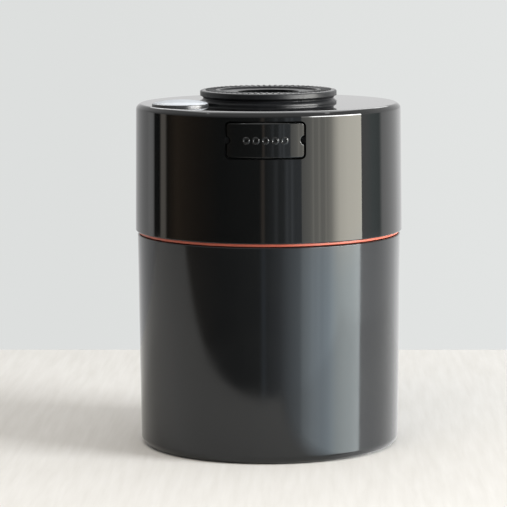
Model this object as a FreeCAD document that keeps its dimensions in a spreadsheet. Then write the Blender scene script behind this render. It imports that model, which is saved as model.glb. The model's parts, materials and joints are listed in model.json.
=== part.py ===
import FreeCAD, Part
import math
import os
import re
import Sketcher

# Coffee canister with a push-on lid, a rubber bellows pump and a press-button release valve.
# Frame: origin at the centre of the foot, +Z up, the press button faces -Y. Millimetres.

SIZES = {
    # Base cup
    "base_height": 116.0,
    "base_inset": 1.1,
    "base_taper": 1.2,
    "base_wall": 2.8,
    "base_floor": 3.0,
    "base_corner": 4.5,
    "base_inner_corner": 3.0,
    "base_edge": 0.6,
    "foot_recess": 1.2,
    "foot_width": 8.0,
    "neck_wall": 2.4,
    "neck_round": 0.7,
    "shoulder_slope_share": 1.4,
    # Lid shell
    "lid_radius": 73.0,
    "lid_height": 69.3,
    "lid_taper": 0.75,
    "lid_wall": 2.4,
    "lid_deck": 2.6,
    "lid_corner": 3.4,
    "lid_inner_corner": 2.0,
    "lid_edge": 0.5,
    # Clearances: sliding pieces, and the bonded or snapped pieces of one assembly
    "slide_gap": 0.3,
    "bond_gap": 0.1,
    # Red seal at the lid's rim
    "seal_gap": 0.3,
    "seal_flange": 1.6,
    "seal_flange_inset": 1.8,
    "seal_leg": 1.2,
    "seal_height": 7.0,
    "seal_lip": 0.5,
    "seal_lip_height": 1.0,
    "seal_bead": 0.4,
    "seal_bead_height": 1.2,
    "seal_edge": 0.4,
    # Press tile, its window and its stem
    "tile_width": 41.4,
    "tile_height": 18.8,
    "tile_drop": 5.6,
    "tile_corner": 2.2,
    "tile_notch": 1.9,
    "tile_proud": 0.5,
    "tile_crown": 50.0,
    "tile_face": 2.0,
    "tile_bevel": 0.7,
    "crown_angle": 120.0,
    "tile_lip": 2.2,
    "mark_radius": 1.9,
    "mark_stroke": 0.85,
    "mark_step": 5.0,
    "mark_height": 0.45,
    "mark_bevel": 0.28,
    "tile_plate": 1.8,
    "window_gap": 0.55,
    "button_travel": 2.0,
    "button_stop": 0.9,
    "stem_radius": 2.9,
    "stem_rib": 1.5,
    "spigot_radius": 1.7,
    "spigot_head": 0.7,
    "spigot_head_length": 1.0,
    # Release valve
    "vent_boss": 7.2,
    "vent_boss_stand": 2.0,
    "vent_boss_depth": 5.0,
    "washer_radius": 6.0,
    "washer_height": 1.6,
    "disc_radius": 6.6,
    "disc_height": 1.8,
    "spring_radius": 4.2,
    "spring_wire": 0.4,
    # Liner inside the lid
    "liner_wall": 2.2,
    "liner_deck": 2.4,
    "liner_flange": 2.4,
    "liner_drop": 1.6,
    "liner_corner": 1.5,
    "inlet_hole": 1.2,
    "inlet_ring": 4.4,
    # Rubber pump
    "pump_radius": 37.2,
    "collar_flange": 1.2,
    "collar_cover": 4.2,
    "collar_wall": 2.2,
    "collar_bead": 2.2,
    "collar_bead_height": 1.8,
    "bellows_height": 2.8,
    "bellows_inset": 0.6,
    "bellows_wall": 1.4,
    "bellows_fold": 1.2,
    "pad_flange": 2.9,
    "pad_edge": 0.9,
    "pad_skin": 1.6,
    "pad_gap": 0.6,
    "rim_width": 10.4,
    "rib_inset": 2.0,
    "rib_width": 0.9,
    "rib_height": 0.35,
    "ledge_drop": 1.1,
    "ledge_slope": 0.8,
    "dish_radius": 16.5,
    "dish_depth": 1.9,
    # Umbrella valves
    "inlet_cap": 7.0,
    "inlet_stem": 1.6,
    "exhaust_cap": 5.0,
    "exhaust_stem": 1.2,
    "exhaust_hole": 0.7,
    "exhaust_ring": 3.1,
    "cap_edge": 0.5,
    "cap_rise": 0.6,
    "barb_reach": 0.8,
    "barb_length": 1.4,
    # Badge
    "badge_margin": 0.5,
    "badge_angle": 61.6,
    "badge_height": 1.2,
    "badge_lip": 0.4,
    "badge_dome": 2.0,
    "badge_edge": 0.4,
    # Overrun of every cut beyond the solid
    "overrun": 5.0,
}

# Places worked out from the sizes
PLACES = {
    "base_radius": "lid_radius - base_inset",
    "base_bottom": "base_radius - base_taper",
    "seal_bottom": "base_height + seal_gap",
    "rim_level": "seal_bottom + seal_flange",
    "lid_top": "rim_level + lid_height",
    "deck_under": "lid_top - lid_deck",
    "lid_top_radius": "lid_radius - lid_taper",
    "lid_flat": "lid_top_radius - lid_corner",
    "seal_top": "rim_level + seal_height",
    "tile_top": "lid_top - tile_drop",
    "tile_bottom": "tile_top - tile_height",
    "tile_half": "tile_width / 2",
    "valve_level": "(tile_top + tile_bottom) / 2",
    "plate_half": "tile_half + tile_lip",
    "plate_bottom": "tile_bottom - tile_lip",
    "liner_flange_top": "plate_bottom - liner_drop",
    "neck_top": "liner_flange_top - liner_flange",
    "collar_top": "lid_top + collar_flange",
    "pad_under": "collar_top + bellows_height",
    "pad_top": "pad_under + pad_flange",
    "ledge_level": "pad_top - ledge_drop",
    "skin_under": "ledge_level - pad_skin",
    "rim_inside": "pump_radius - rim_width",
    "dish_floor": "ledge_level - dish_depth",
    "dish_under": "dish_floor - pad_skin",
    "dish_outside": "dish_radius + pad_skin",
    "collar_bore": "opening - bond_gap - collar_wall",
    "opening": "pump_radius - collar_cover",
    "liner_top": "deck_under - collar_bead_height",
    "liner_under": "liner_top - liner_deck",
    "crown_axis": "face_reach - tile_crown",
    "badge_radius": "(lid_flat - pump_radius) / 2 - badge_margin",
    "badge_distance": "(lid_flat + pump_radius) / 2",
}


def lid_outside(level):
    """Formula of the lid's outer radius at a level: the wall leans in towards the top."""
    return f"(lid_radius - lid_taper * ({level} - rim_level) / lid_height)"


def lid_inside(level):
    """Formula of the lid's inner radius at a level."""
    return f"({lid_outside(level)} - lid_wall)"


# Neck, seal and liner radii follow the lid's inside, from the outside in
PLACES["leg_outside"] = f"{lid_inside('seal_top')} - bond_gap"
PLACES["leg_inside"] = "leg_outside - seal_leg"
PLACES["lip_inside"] = "leg_inside - seal_lip"
PLACES["neck_radius"] = "lip_inside - slide_gap"
PLACES["neck_inside"] = "neck_radius - neck_wall"
PLACES["body_inside"] = "base_radius - base_wall"
# Reach of the press button's planes from the axis, towards the front
PLACES["face_reach"] = f"{lid_outside('valve_level')} + tile_proud"
PLACES["plate_reach"] = f"sqrt({lid_inside('tile_top')}^2 - plate_half^2) - slide_gap"
PLACES["plate_back"] = "plate_reach - tile_plate"
PLACES["boss_face"] = "plate_back - button_travel - button_stop"
PLACES["boss_seat"] = "boss_face - vent_boss_depth"
PLACES["washer_back"] = "boss_seat - washer_height"
PLACES["disc_back"] = "washer_back - disc_height"
PLACES["liner_radius"] = "boss_face - vent_boss_stand"
PLACES["liner_inside"] = "liner_radius - liner_wall"

# Raised rings on each side of the middle one, coils, holes and ribs
MARKS_ASIDE = 2
SPRING_TURNS = 4
INLET_HOLES = 6
EXHAUST_HOLES = 5
RIM_RIBS = 64

doc = FreeCAD.newDocument("Canister")
sheet = doc.addObject("Spreadsheet::Sheet", "Sizes")
for row, (size_name, size) in enumerate(SIZES.items(), 1):
    sheet.set(f"A{row}", size_name)
    sheet.set(f"B{row}", str(size))
    sheet.setAlias(f"B{row}", size_name)
doc.recompute()


def formula(words):
    """Spell a formula of size and place names in the sheet's cells."""

    def spell(match):
        name = match.group()
        if name in PLACES:
            return f"({formula(PLACES[name])})"
        return f"Sizes.{name}" if name in SIZES else name

    return re.sub(r"[a-z]\w*", spell, words)


def value(words):
    """Work out a formula of size and place names."""
    return float(sheet.evalExpression(formula(words)))


def new_body(label):
    """Start a body with its own label."""
    body = doc.addObject("PartDesign::Body", label)
    body.Label = label
    return body


def new_sketch(body, name, plane="XZ_Plane", reach=None):
    """Start a sketch on one of a body's origin planes, moved along its normal by a formula if given."""
    sketch = body.newObject("Sketcher::SketchObject", name)
    planes = {feature.Role: feature for feature in body.Origin.OriginFeatures}
    sketch.AttachmentSupport = [(planes[plane], "")]
    sketch.MapMode = "FlatFace"
    if reach:
        sketch.setExpression("AttachmentOffset.Base.z", formula(reach))
    return sketch


def tie(sketch, kind, words, *where):
    """Add a constraint whose value is a formula."""
    index = sketch.addConstraint(Sketcher.Constraint(kind, *where, value(words)))
    sketch.setExpression(f"Constraints[{index}]", formula(words))


def tie_point(sketch, geometry, end, across, up):
    """Hold a point of a sketch at two formulas, measured from the sketch's origin."""
    tie(sketch, "DistanceX", across, -1, 1, geometry, end)
    tie(sketch, "DistanceY", up, -1, 1, geometry, end)


def draw_circle(sketch, across, up, radius):
    """Draw a circle with its centre and radius as formulas."""
    centre = FreeCAD.Vector(value(across), value(up), 0)
    circle = sketch.addGeometry(Part.Circle(centre, FreeCAD.Vector(0, 0, 1), value(radius)), False)
    tie(sketch, "Radius", radius, circle)
    tie_point(sketch, circle, 3, across, up)


def draw_axis(sketch, foot, head):
    """Draw a construction line between two points given as formulas, to turn the sketch about."""
    ends = [FreeCAD.Vector(value(across), value(up), 0) for across, up in (foot, head)]
    axis = sketch.addGeometry(Part.LineSegment(*ends), True)
    tie_point(sketch, axis, 1, *foot)
    tie_point(sketch, axis, 2, *head)


def arc_between(start, end, centre):
    """Make the shorter arc between two points, and say at which of its ends the first point lies."""
    radius = (start - centre).Length
    first = math.atan2(start.y - centre.y, start.x - centre.x)
    last = math.atan2(end.y - centre.y, end.x - centre.x)
    forward = (last - first) % (2 * math.pi) < math.pi
    circle = Part.Circle(centre, FreeCAD.Vector(0, 0, 1), radius)
    if forward:
        return Part.ArcOfCircle(circle, first, last), 1
    return Part.ArcOfCircle(circle, last, first), 2


def draw_outline(sketch, corners, bulges=None):
    """Draw a closed outline, counter-clockwise, through corners given as formulas.

    A corner is (across, up), or (across, up, rounding). The side that follows corner i bulges outwards
    as an arc of radius bulges[i] where that is given, and is straight elsewhere.
    """
    bulges = bulges or {}
    count = len(corners)
    points = [FreeCAD.Vector(value(corner[0]), value(corner[1]), 0) for corner in corners]
    leaving = list(points)
    arriving = list(points)
    rounds = {}
    for i, corner in enumerate(corners):
        if len(corner) < 3:
            continue
        radius = value(corner[2])
        back = (points[i - 1] - points[i]).normalize()
        ahead = (points[(i + 1) % count] - points[i]).normalize()
        half = back.getAngle(ahead) / 2
        arriving[i] = points[i] + back * (radius / math.tan(half))
        leaving[i] = points[i] + ahead * (radius / math.tan(half))
        centre = points[i] + (back + ahead).normalize() * (radius / math.sin(half))
        rounds[i] = arc_between(arriving[i], leaving[i], centre)
    sides = []
    for i in range(count):
        start = leaving[i]
        end = arriving[(i + 1) % count]
        if i in bulges:
            chord = end - start
            radius = value(bulges[i])
            depth = math.sqrt(max(radius**2 - (chord.Length / 2) ** 2, 0))
            inwards = FreeCAD.Vector(-chord.y, chord.x, 0).normalize()
            arc, first = arc_between(start, end, (start + end) / 2 + inwards * depth)
            sides.append((sketch.addGeometry(arc, False), first, 3 - first))
            tie(sketch, "Radius", bulges[i], sides[-1][0])
        else:
            sides.append((sketch.addGeometry(Part.LineSegment(start, end), False), 1, 2))
    for i, corner in enumerate(corners):
        before, _, before_end = sides[i - 1]
        after, after_start, _ = sides[i]
        if i not in rounds:
            sketch.addConstraint(Sketcher.Constraint("Coincident", before, before_end, after, after_start))
            tie_point(sketch, after, after_start, corner[0], corner[1])
            continue
        arc, first = rounds[i]
        bend = sketch.addGeometry(arc, False)
        sketch.addConstraint(Sketcher.Constraint("Tangent", before, before_end, bend, first))
        sketch.addConstraint(Sketcher.Constraint("Tangent", after, after_start, bend, 3 - first))
        tie(sketch, "Radius", corner[2], bend)
        peak = sketch.addGeometry(Part.Point(points[i]), True)
        tie_point(sketch, peak, 1, corner[0], corner[1])
        sketch.addConstraint(Sketcher.Constraint("PointOnObject", peak, 1, before))
        sketch.addConstraint(Sketcher.Constraint("PointOnObject", peak, 1, after))


def box_outline(sketch, half, low, high, rounding=None):
    """Draw a rectangle, centred across, between two levels."""
    bend = (rounding,) if rounding else ()
    corners = [(f"-({half})", low), (half, low), (half, high), (f"-({half})", high)]
    draw_outline(sketch, [corner + bend for corner in corners])


def revolve(body, name, corners, bulges=None):
    """Turn an outline of radii and levels about the Z axis."""
    sketch = new_sketch(body, f"{name}_outline")
    draw_outline(sketch, corners, bulges)
    turn = body.newObject("PartDesign::Revolution", name)
    turn.Profile = sketch
    turn.ReferenceAxis = (sketch, ["V_Axis"])
    turn.Angle = 360
    return turn


def pad(body, sketch, name, length):
    """Raise a sketch along its plane's normal, which is to the front on the XZ plane."""
    raised = body.newObject("PartDesign::Pad", name)
    raised.Profile = sketch
    raised.setExpression("Length", formula(length))
    return raised


def pocket(body, sketch, name, length, along_normal):
    """Cut a sketch into a body, and check that the cut took material away."""
    doc.recompute()
    before = body.Shape.Volume
    cut = body.newObject("PartDesign::Pocket", name)
    cut.Profile = sketch
    cut.setExpression("Length", formula(length))
    cut.Reversed = along_normal
    doc.recompute()
    if body.Shape.Volume >= before:
        raise RuntimeError(f"{name} cuts nothing")
    return cut


def repeat_round(body, sketch, feature, count):
    """Repeat a feature at even steps round the Z axis."""
    ring = body.newObject("PartDesign::PolarPattern", f"{feature.Name}_ring")
    ring.Originals = [feature]
    ring.Axis = (sketch, ["N_Axis"])
    ring.Angle = 360
    ring.Occurrences = count
    body.Tip = ring


def ring_of_holes(body, name, across, up, radius, length, count):
    """Cut one hole down from a level and repeat it round the Z axis."""
    sketch = new_sketch(body, f"{name}_circle", "XY_Plane", up)
    draw_circle(sketch, across, "0", radius)
    hole = pocket(body, sketch, name, length, False)
    repeat_round(body, sketch, hole, count)


def base_cup():
    """Cup with a foot ring, a leaning wall, a shoulder and a narrower neck."""
    body = new_body("base_cup")
    shoulder = "base_height - base_wall"
    corners = [
        ("0", "foot_recess"),
        ("base_bottom - base_corner - foot_width - foot_recess", "foot_recess"),
        ("base_bottom - base_corner - foot_width", "0"),
        ("base_bottom", "0", "base_corner"),
        ("base_radius", "base_height", "base_edge"),
        ("neck_radius", "base_height"),
        ("neck_radius", "neck_top", "neck_round"),
        ("neck_inside", "neck_top", "neck_round"),
        ("neck_inside", shoulder),
        ("body_inside", f"{shoulder} - (body_inside - neck_inside) * shoulder_slope_share"),
        ("base_bottom - base_wall", "foot_recess + base_floor", "base_inner_corner"),
        ("0", "foot_recess + base_floor"),
    ]
    revolve(body, "cup", corners)
    return body


def lid_shell():
    """Outer cap with a rounded top edge, the pump's opening, the seal's groove and the tile's window."""
    body = new_body("lid_shell")
    bead_low = "seal_top - 2 * seal_bead_height - bond_gap"
    bead_high = "seal_top - seal_bead_height + bond_gap"
    corners = [
        (lid_inside("rim_level"), "rim_level"),
        ("lid_radius", "rim_level", "lid_edge"),
        ("lid_top_radius", "lid_top", "lid_corner"),
        ("opening", "lid_top"),
        ("opening", "deck_under"),
        (lid_inside("deck_under"), "deck_under", "lid_inner_corner"),
        (lid_inside(bead_high), bead_high),
        ("leg_outside + seal_bead + 2 * bond_gap", bead_high),
        ("leg_outside + seal_bead + 2 * bond_gap", bead_low),
        (lid_inside(bead_low), bead_low),
    ]
    revolve(body, "cap", corners)
    window = new_sketch(body, "window_outline")
    box_outline(window, "tile_half + window_gap", "tile_bottom - window_gap", "tile_top + window_gap",
                "tile_corner + window_gap")
    pocket(body, window, "window", "lid_radius + overrun", True)
    return body


def neck_seal():
    """Red ring of L section: a flange under the lid's rim, and a leg with a snap bead and two lips."""
    body = new_body("neck_seal")
    corners = [
        ("leg_inside", "seal_bottom"),
        ("lid_radius - seal_flange_inset", "seal_bottom", "seal_edge"),
        ("lid_radius - seal_flange_inset", "rim_level"),
        ("leg_outside", "rim_level"),
        ("leg_outside", "seal_top - 2 * seal_bead_height"),
        ("leg_outside + seal_bead", "seal_top - 2 * seal_bead_height"),
        ("leg_outside + seal_bead", "seal_top - seal_bead_height"),
        ("leg_outside", "seal_top - seal_bead_height"),
        ("leg_outside", "seal_top"),
        ("leg_inside", "seal_top"),
        ("lip_inside", "seal_top - seal_lip_height"),
        ("leg_inside", "seal_top - 2 * seal_lip_height"),
        ("leg_inside", "rim_level + 2 * seal_lip_height"),
        ("lip_inside", "rim_level + seal_lip_height"),
        ("leg_inside", "rim_level"),
    ]
    revolve(body, "seal", corners)
    return body


def lid_liner():
    """Inner cap that rests on the neck's rim, with the pump's floor on top and the vent in front."""
    body = new_body("lid_liner")
    rim = f"{lid_inside('liner_flange_top')} - bond_gap"
    corners = [
        ("0", "liner_under"),
        ("liner_inside", "liner_under", "liner_corner"),
        ("liner_inside", "neck_top"),
        (rim, "neck_top"),
        (rim, "liner_flange_top"),
        ("liner_radius", "liner_flange_top"),
        ("liner_radius", "liner_top", "liner_corner"),
        ("0", "liner_top"),
    ]
    revolve(body, "liner", corners)
    boss = new_sketch(body, "vent_boss_outline", reach="boss_seat")
    draw_circle(boss, "0", "valve_level", "vent_boss")
    pad(body, boss, "vent_boss", "vent_boss_depth")
    vent = new_sketch(body, "vent_outline")
    draw_circle(vent, "0", "valve_level", "sqrt(stem_radius^2 + stem_rib^2 / 4) + slide_gap")
    pocket(body, vent, "vent", "boss_face + overrun", True)
    socket = new_sketch(body, "inlet_socket_outline", "XY_Plane", "liner_top")
    draw_circle(socket, "0", "0", "inlet_stem + bond_gap")
    pocket(body, socket, "inlet_socket", "liner_deck + overrun", False)
    ring_of_holes(body, "inlet_hole", "inlet_ring", "liner_top", "inlet_hole", "liner_deck + overrun",
                  INLET_HOLES)
    return body


def cross_outline(sketch, level, wide, thin):
    """Draw an upright cross of four equal arms about a level."""
    quarter = [(wide, thin), (thin, thin), (thin, wide)]
    turns = [(1, 0), (0, 1), (-1, 0), (0, -1)]
    corners = []
    for cosine, sine in turns:
        for along, aside in quarter:
            across = f"{cosine} * {along} - {sine} * {aside}"
            corners.append((across, f"{level} + {sine} * {along} + {cosine} * {aside}"))
    draw_outline(sketch, corners)


def crown_cut(body, name, near, far, low, high, angle):
    """Cut a band between two reaches by turning it both ways about the axis of the tile's crown."""
    doc.recompute()
    before = body.Shape.Volume
    sketch = new_sketch(body, f"{name}_outline", "YZ_Plane")
    draw_outline(sketch, [(f"-({far})", low), (f"-({near})", low), (f"-({near})", high), (f"-({far})", high)])
    draw_axis(sketch, ("-crown_axis", "0"), ("-crown_axis", "tile_top"))
    cut = body.newObject("PartDesign::Groove", name)
    cut.Profile = sketch
    cut.ReferenceAxis = (sketch, ["Axis0"])
    cut.Midplane = True
    cut.setExpression("Angle", formula(angle))
    doc.recompute()
    if body.Shape.Volume >= before:
        raise RuntimeError(f"{name} cuts nothing")
    return cut


def bevel_crown(body, crowned, name, radius, size):
    """Bevel every edge of the faces that lie on a crown of the given radius."""
    shape = crowned.Shape
    reach = value(radius)
    faces = [face for face in shape.Faces if isinstance(face.Surface, Part.Cylinder)]
    crowns = [face for face in faces if math.isclose(face.Surface.Radius, reach, rel_tol=1e-6)]
    rims = [edge for face in crowns for edge in face.Edges]
    names = [f"Edge{i}" for i, edge in enumerate(shape.Edges, 1) if any(edge.isSame(rim) for rim in rims)]
    bevel = body.newObject("PartDesign::Chamfer", name)
    bevel.Base = (crowned, names)
    bevel.setExpression("Size", formula(size))


def press_button():
    """Crowned tile with raised rings and a hollow back, a plate behind the window's edge and a stem."""
    body = new_body("press_button")
    tile = new_sketch(body, "tile_outline", reach="plate_back")
    box_outline(tile, "tile_half", "tile_bottom", "tile_top", "tile_corner")
    pad(body, tile, "tile", "face_reach - plate_back + overrun")
    notches = new_sketch(body, "notch_outline", reach="plate_reach")
    for side in ("-tile_half", "tile_half"):
        draw_circle(notches, side, "valve_level", "tile_notch")
    pocket(body, notches, "notches", "face_reach - plate_reach + 2 * overrun", True)
    below = "tile_bottom - overrun"
    above = "tile_top + overrun"
    beyond = "face_reach + 3 * overrun"
    crowned = crown_cut(body, "crown", "face_reach", beyond, below, above, "crown_angle")
    bevel_crown(body, crowned, "tile_edge", "tile_crown", "tile_bevel")
    marks = new_sketch(body, "mark_outline", reach="plate_reach")
    for place in range(-MARKS_ASIDE, MARKS_ASIDE + 1):
        draw_circle(marks, f"{place} * mark_step", "valve_level", "mark_radius")
        draw_circle(marks, f"{place} * mark_step", "valve_level", "mark_radius - mark_stroke")
    pad(body, marks, "marks", "face_reach - plate_reach + overrun")
    raised = crown_cut(body, "mark_crown", "face_reach + mark_height", beyond, below, above, "crown_angle")
    bevel_crown(body, raised, "mark_edge", "tile_crown + mark_height", "mark_bevel")
    wall_low = "tile_bottom + tile_face"
    wall_high = "tile_top - tile_face"
    crown_cut(body, "hollow", "plate_back - overrun", "face_reach - tile_face", wall_low, wall_high,
              "2 * asin((tile_half - tile_notch - tile_face) / tile_crown)")
    plate = new_sketch(body, "plate_outline", reach="plate_back")
    box_outline(plate, "plate_half", "plate_bottom", "tile_top")
    box_outline(plate, "tile_half - tile_notch - 2 * tile_face", wall_low, wall_high)
    pad(body, plate, "plate", "tile_plate")
    stem = new_sketch(body, "stem_outline", reach="boss_seat")
    cross_outline(stem, "valve_level", "stem_radius", "stem_rib / 2")
    pad(body, stem, "stem", "face_reach - tile_face / 2 - boss_seat")
    spigot = new_sketch(body, "spigot_outline", reach="disc_back")
    draw_circle(spigot, "0", "valve_level", "spigot_radius")
    pad(body, spigot, "spigot", "boss_seat - disc_back")
    head = new_sketch(body, "head_outline", reach="disc_back - spigot_head_length")
    draw_circle(head, "0", "valve_level", "spigot_radius + spigot_head")
    pad(body, head, "head", "spigot_head_length")
    return body


def ring_plate(label, reach, outer, height, bore):
    """Flat ring round the valve stem, from its back plane to the front."""
    body = new_body(label)
    sketch = new_sketch(body, f"{label}_outline", reach=reach)
    draw_circle(sketch, "0", "valve_level", outer)
    draw_circle(sketch, "0", "valve_level", bore)
    pad(body, sketch, f"{label}_ring", height)
    return body


def button_spring():
    """Coil spring round the stem, between the vent's boss and the back of the tile.

    It is wound in half turns. Each is half a ring, tilted so that it ends one step further along.
    """
    body = new_body("button_spring")
    length = "(face_reach - tile_face - boss_face - 2 * (spring_wire + slide_gap) - bond_gap)"
    step = f"{length} / {2 * SPRING_TURNS}"
    for i in range(2 * SPRING_TURNS):
        side = -1 if i % 2 else 1
        middle = f"{2 * i + 1} * {step} / 2"
        sketch = new_sketch(body, f"turn_{i}_outline")
        draw_circle(sketch, f"{side} * spring_radius", f"{i} * {step}", "spring_wire")
        draw_axis(sketch, ("0", middle), (f"{side} * {step}", f"{middle} + 2 * spring_radius"))
        turn = body.newObject("PartDesign::Revolution", f"turn_{i}")
        turn.Profile = sketch
        turn.ReferenceAxis = (sketch, ["Axis0"])
        turn.Angle = 180
    body.Placement.Rotation = FreeCAD.Rotation(FreeCAD.Vector(1, 0, 0), 90)
    body.setExpression("Placement.Base.y", formula("-(boss_face + spring_wire + bond_gap)"))
    body.setExpression("Placement.Base.z", formula("valve_level"))
    return body


def pump_collar():
    """Fixed foot of the pump: a flange on the lid, a sleeve in its opening and a bead under its edge."""
    body = new_body("pump_collar")
    corners = [
        ("collar_bore", "liner_top"),
        ("opening + collar_bead", "liner_top"),
        ("opening + collar_bead", "deck_under"),
        ("opening - bond_gap", "deck_under"),
        ("opening - bond_gap", "lid_top"),
        ("pump_radius", "lid_top"),
        ("pump_radius", "collar_top"),
        ("collar_bore", "collar_top"),
    ]
    revolve(body, "collar", corners)
    return body


def pump_bellows():
    """Thin wall of the pump, folded inwards at half its height."""
    body = new_body("pump_bellows")
    outside = "pump_radius - bellows_inset"
    fold = "collar_top + bellows_height / 2"
    corners = [
        (f"{outside} - bellows_wall", "collar_top"),
        (outside, "collar_top"),
        (f"{outside} - bellows_fold", fold),
        (outside, "pad_under"),
        (f"{outside} - bellows_wall", "pad_under"),
        (f"{outside} - bellows_wall - bellows_fold", fold),
    ]
    revolve(body, "bellows", corners)
    return body


def pump_pad():
    """Moving top of the pump: a ribbed rim, a ledge inside it and a thumb dish with the outlet's holes."""
    body = new_body("pump_pad")
    corners = [
        ("0", "dish_under"),
        ("dish_outside", "dish_under"),
        ("dish_outside", "skin_under"),
        ("collar_bore - pad_gap", "skin_under"),
        ("collar_bore - pad_gap", "pad_under"),
        ("pump_radius", "pad_under"),
        ("pump_radius", "pad_top", "pad_edge"),
        ("rim_inside", "pad_top"),
        ("rim_inside - ledge_slope", "ledge_level"),
        ("dish_radius", "ledge_level"),
        ("dish_radius", "dish_floor"),
        ("0", "dish_floor"),
    ]
    revolve(body, "pad", corners)
    socket = new_sketch(body, "exhaust_socket_outline", "XY_Plane", "dish_floor")
    draw_circle(socket, "0", "0", "exhaust_stem + bond_gap")
    pocket(body, socket, "exhaust_socket", "pad_skin + overrun", False)
    ring_of_holes(body, "exhaust_hole", "exhaust_ring", "dish_floor", "exhaust_hole", "pad_skin + overrun",
                  EXHAUST_HOLES)
    rib = new_sketch(body, "rib_outline", "XY_Plane", "pad_top")
    inner = "rim_inside + rib_inset"
    outer = "pump_radius - pad_edge - rib_inset"
    half = "rib_width / 2"
    draw_outline(rib, [(inner, f"-{half}"), (outer, f"-{half}"), (outer, half), (inner, half)])
    repeat_round(body, rib, pad(body, rib, "rib", "rib_height"), RIM_RIBS)
    return body


def umbrella_valve(label, seat, deck, cap, stem):
    """Rubber valve: a domed cap on a seat, a stem through the deck below and a barb under the deck."""
    body = new_body(label)
    under = f"{seat} - {deck}"
    corners = [
        ("0", f"{under} - barb_length"),
        (stem, f"{under} - barb_length"),
        (f"{stem} + barb_reach", under),
        (stem, under),
        (stem, seat),
        (cap, seat),
        (cap, f"{seat} + cap_edge"),
        ("0", f"{seat} + cap_edge + cap_rise"),
    ]
    revolve(body, "umbrella", corners, {6: f"({cap}^2 + cap_rise^2) / (2 * cap_rise)"})
    return body


def badge_piece(label, corners, bulges=None):
    """Round piece of the badge, turned about its own axis and set on the lid beside the pump."""
    body = new_body(label)
    revolve(body, label, corners, bulges)
    body.setExpression("Placement.Base.x", formula("-badge_distance * sin(badge_angle)"))
    body.setExpression("Placement.Base.y", formula("-badge_distance * cos(badge_angle)"))
    return body


def badge_disc():
    """Dark carrier of the badge."""
    corners = [
        ("0", "lid_top"),
        ("badge_radius", "lid_top"),
        ("badge_radius", "lid_top + badge_height", "badge_edge"),
        ("0", "lid_top + badge_height"),
    ]
    return badge_piece("badge_disc", corners)


def badge_dome():
    """Glossy domed face of the badge."""
    foot = "lid_top + badge_height"
    face = "(badge_radius - badge_lip)"
    corners = [("0", foot), (face, foot), ("0", f"{foot} + badge_dome")]
    return badge_piece("badge_dome", corners, {1: f"({face}^2 + badge_dome^2) / (2 * badge_dome)"})


pieces = [
    base_cup(),
    lid_shell(),
    neck_seal(),
    lid_liner(),
    press_button(),
    ring_plate("valve_washer", "washer_back", "washer_radius", "washer_height", "spigot_radius + bond_gap"),
    ring_plate("valve_disc", "disc_back", "disc_radius", "disc_height", "spigot_radius + bond_gap"),
    button_spring(),
    pump_collar(),
    pump_bellows(),
    pump_pad(),
    umbrella_valve("inlet_valve", "liner_top", "liner_deck", "inlet_cap", "inlet_stem"),
    umbrella_valve("exhaust_valve", "dish_floor", "pad_skin", "exhaust_cap", "exhaust_stem"),
    badge_disc(),
    badge_dome(),
]

doc.recompute()
for item in doc.Objects:
    if "Invalid" in item.State or "Error" in item.State:
        raise RuntimeError(f"{item.Label} did not recompute: {item.State}")
os.makedirs("parts", exist_ok=True)
for piece in pieces:
    if piece.Shape.isNull() or not piece.Shape.isValid():
        raise RuntimeError(f"{piece.Label} is not a valid shape")
for piece in pieces:
    piece.Shape.exportStep(f"parts/{piece.Label}.step")
    print(piece.Label, len(piece.Shape.Solids), round(piece.Shape.Volume, 1))
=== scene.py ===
"""Looks of a push-on vacuum coffee canister: a charcoal base, a gloss black lid, a pump and a press button.

Sizes in the classes are millimetres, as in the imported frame, and meshes are written in metres.
"""

import json
import logging
import math
from collections.abc import Sequence
from dataclasses import dataclass, field
from enum import Enum
from functools import cache

import bmesh
import bpy
from mathutils import Matrix, Vector

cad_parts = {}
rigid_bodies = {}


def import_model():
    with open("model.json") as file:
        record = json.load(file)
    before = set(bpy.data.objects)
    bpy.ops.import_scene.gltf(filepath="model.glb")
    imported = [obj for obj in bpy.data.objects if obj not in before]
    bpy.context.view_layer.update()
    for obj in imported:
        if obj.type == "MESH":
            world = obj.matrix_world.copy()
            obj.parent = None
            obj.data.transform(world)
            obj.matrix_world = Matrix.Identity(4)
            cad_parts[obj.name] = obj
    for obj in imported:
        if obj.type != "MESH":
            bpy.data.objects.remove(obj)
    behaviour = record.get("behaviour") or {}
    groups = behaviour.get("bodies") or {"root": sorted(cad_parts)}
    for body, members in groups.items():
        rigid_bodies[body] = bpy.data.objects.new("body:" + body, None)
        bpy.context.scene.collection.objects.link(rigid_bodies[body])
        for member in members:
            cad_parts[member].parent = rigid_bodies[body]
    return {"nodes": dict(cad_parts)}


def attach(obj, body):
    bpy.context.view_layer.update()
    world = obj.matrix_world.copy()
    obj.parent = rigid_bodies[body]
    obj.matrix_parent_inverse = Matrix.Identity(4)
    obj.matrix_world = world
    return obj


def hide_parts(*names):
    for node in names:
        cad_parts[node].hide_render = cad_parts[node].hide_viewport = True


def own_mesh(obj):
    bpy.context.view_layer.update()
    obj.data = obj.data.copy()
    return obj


for leftover in list(bpy.data.objects):
    bpy.data.objects.remove(leftover)
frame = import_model()

LOG = logging.getLogger("canister")
MM = 0.001
WHITE = "#FFFFFF"
# Flat pieces in a full turn and in a rounding, and the angle from which an edge counts as sharp
SEGMENTS = 288
ARC_STEPS = 8
SHARP_ANGLE = math.radians(32)
# Radius in millimetres below which a point lies on the axis
ON_AXIS = 1e-6
# Sizes that several sub-assemblies share
LID_TOP = 187.2
LID_DECK = 2.6
LID_OPENING = 33.0
BOND_GAP = 0.1
# Nearly all of a noise texture's values lie between these
NOISE_LOW, NOISE_HIGH = 0.3, 0.7
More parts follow.
